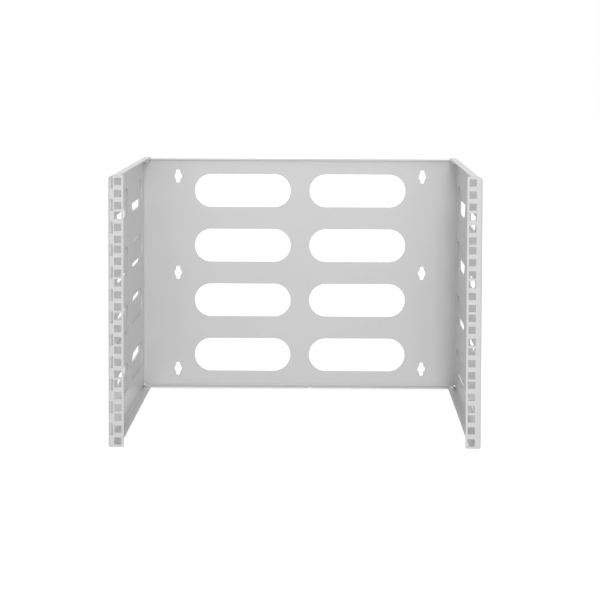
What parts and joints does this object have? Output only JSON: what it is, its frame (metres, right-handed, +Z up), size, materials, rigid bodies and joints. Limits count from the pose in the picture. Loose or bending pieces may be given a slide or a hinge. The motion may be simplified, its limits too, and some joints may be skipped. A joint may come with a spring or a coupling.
{
  "type": "wall mount server rack",
  "caption": "Open U-shaped wall mount rack for server and network equipment, with vented back plate, slotted side plates and square-hole front rails.",
  "frame": {"origin": "middle of the underside, on the surface that the rack stands on, below the middle of its width and depth", "axes": "+X across the rack towards its right side seen from the front, -Y towards the open front where equipment goes in, +Y towards the wall, +Z up"},
  "size_m": [0.491, 0.305, 0.3586],
  "materials": {
    "painted_sheet": "satin pale grey powder coat",
    "fasteners": "plain zinc plated"
  },
  "bodies": {
    "root": {"back_plate": "painted_sheet", "corner_nut_bottom_left": "fasteners", "corner_nut_bottom_right": "fasteners", "corner_nut_top_left": "fasteners", "corner_nut_top_right": "fasteners", "corner_stud_bottom_left": "fasteners", "corner_stud_bottom_right": "fasteners", "corner_stud_top_left": "fasteners", "corner_stud_top_right": "fasteners", "rail_bracket_left": "painted_sheet", "rail_bracket_right": "painted_sheet", "side_plate_left": "painted_sheet", "side_plate_right": "painted_sheet"}
  },
  "joints": []
}
